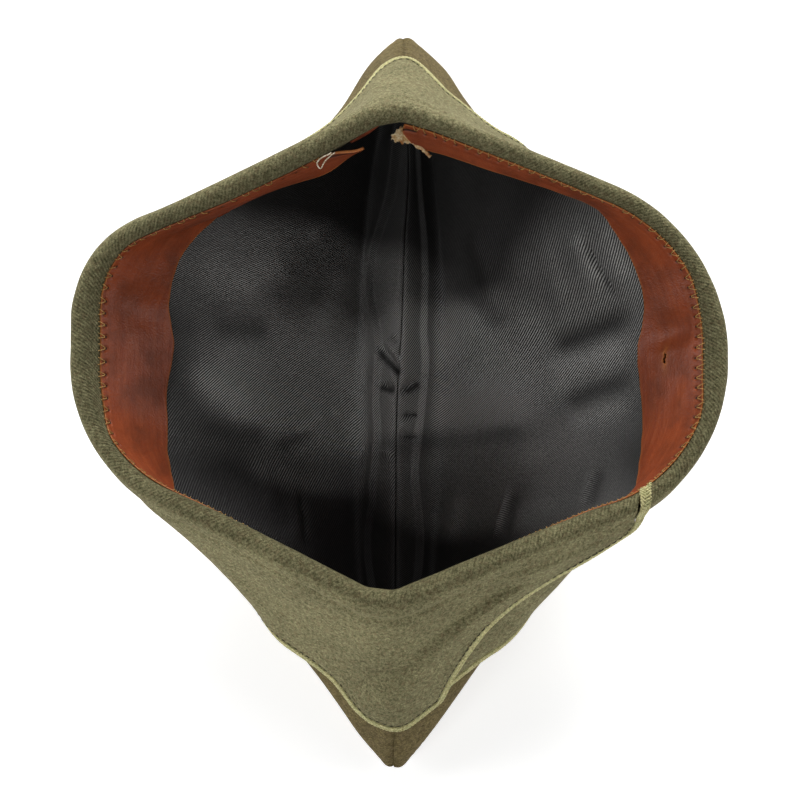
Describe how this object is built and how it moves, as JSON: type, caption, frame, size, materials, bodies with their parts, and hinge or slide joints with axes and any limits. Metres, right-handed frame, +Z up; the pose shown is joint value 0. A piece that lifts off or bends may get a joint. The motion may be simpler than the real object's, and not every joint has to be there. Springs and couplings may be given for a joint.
{
  "type": "garrison cap",
  "caption": "Wool garrison cap with a turned-up piped curtain, twill lining and leather sweatband, open and upturned on the fold of its crown.",
  "frame": {"origin": "on the resting surface, below the middle of the cap's length and width", "axes": "+Z up, into the open head side; -Y to the front of the cap; +X to the wearer's right"},
  "size_m": [0.2225, 0.2796, 0.0999],
  "materials": {
    "wool": "fuzzy twill",
    "lining_twill": "smooth twill with a slight sheen",
    "piping_braid": "braided cord",
    "leather": "worn, satin"
  },
  "bodies": {
    "root": {"crown_right": "wool", "crown_left": "wool", "lining_right": "lining_twill", "lining_left": "lining_twill", "curtain": "wool", "piping": "piping_braid", "sweatband": "leather"}
  },
  "joints": []
}
